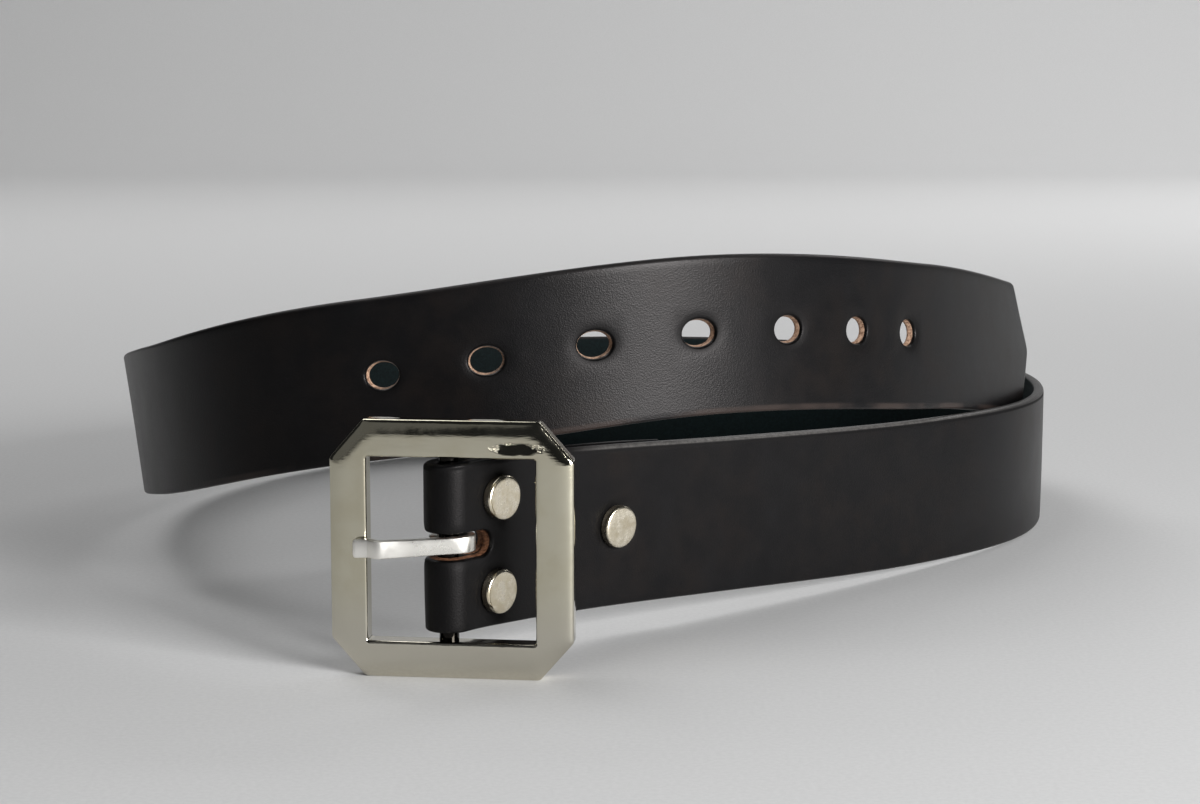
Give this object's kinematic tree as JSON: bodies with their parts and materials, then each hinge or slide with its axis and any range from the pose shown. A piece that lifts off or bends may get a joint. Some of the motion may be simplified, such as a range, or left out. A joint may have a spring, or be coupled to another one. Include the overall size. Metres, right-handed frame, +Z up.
{
  "type": "garrison belt",
  "caption": "Leather garrison belt resting unfastened in a loose coil: pointed strap with punched holes, square frame buckle with a prong, and cap rivets.",
  "frame": {"origin": "middle of the belt's foot, on the surface that it lies on", "axes": "+Z up; the buckle's face looks towards -Y; +X to the right as seen from the buckle's side"},
  "size_m": [0.2649, 0.3302, 0.0881],
  "materials": {
    "leather": "smooth semi-matt black grain with burnished edges and a dark blue-green flesh side",
    "nickel": "polished nickel plate with fine scratches"
  },
  "bodies": {
    "strap": {"strap": "leather", "rivet_upper": "nickel", "rivet_lower": "nickel", "rivet_rear": "nickel"},
    "buckle": {"buckle_frame": "nickel"},
    "prong": {"prong": "nickel"}
  },
  "joints": [
    {"name": "buckle_swing", "type": "hinge", "parent": "strap", "child": "buckle", "pos_m": [-0.0319, -0.1572, 0.02865], "axis": [0, 0, 1], "range_deg": [-100, 32]},
    {"name": "prong_swing", "type": "hinge", "parent": "buckle", "child": "prong", "pos_m": [-0.0319, -0.1572, 0.02965], "axis": [0, 0, 1], "range_deg": [0, 120]}
  ]
}
